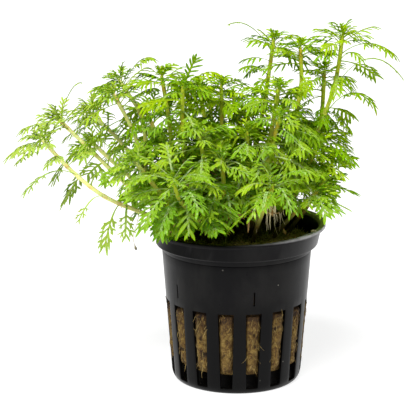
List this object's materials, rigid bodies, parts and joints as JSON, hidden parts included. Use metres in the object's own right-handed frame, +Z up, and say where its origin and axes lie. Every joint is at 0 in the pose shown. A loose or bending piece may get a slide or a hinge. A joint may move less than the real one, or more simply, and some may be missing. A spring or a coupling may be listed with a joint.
{
  "type": "potted water violet",
  "caption": "Bushy water plant with feathery comb-like leaves, growing from a rock wool plug in a slotted round net pot.",
  "frame": {"origin": "centre of the pot's flat underside", "axes": "+Z up; +X to the right of the viewer, along the plant's widest spread; -Y towards the viewer"},
  "size_m": [0.124, 0.0921, 0.116],
  "materials": {
    "pot_plastic": "black moulded plastic, satin",
    "rock_wool": "wet ochre-brown mineral fibre, mossy on top",
    "leaf_green": "soft fresh green leaf and yellow-green stem"
  },
  "bodies": {
    "root": {"net_pot": "pot_plastic", "rock_wool": "rock_wool", "shoot_01": "leaf_green", "shoot_02": "leaf_green", "shoot_03": "leaf_green", "shoot_04": "leaf_green", "shoot_05": "leaf_green", "shoot_06": "leaf_green", "shoot_07": "leaf_green", "shoot_08": "leaf_green", "shoot_09": "leaf_green", "shoot_10": "leaf_green", "shoot_11": "leaf_green", "shoot_12": "leaf_green", "shoot_13": "leaf_green", "shoot_14": "leaf_green", "shoot_15": "leaf_green", "shoot_16": "leaf_green", "shoot_17": "leaf_green", "shoot_18": "leaf_green", "shoot_19": "leaf_green", "shoot_20": "leaf_green", "shoot_21": "leaf_green", "shoot_22": "leaf_green", "shoot_23": "leaf_green", "shoot_24": "leaf_green", "shoot_25": "leaf_green", "shoot_26": "leaf_green", "shoot_27": "leaf_green", "shoot_28": "leaf_green", "shoot_29": "leaf_green", "shoot_30": "leaf_green", "shoot_31": "leaf_green"}
  },
  "joints": []
}
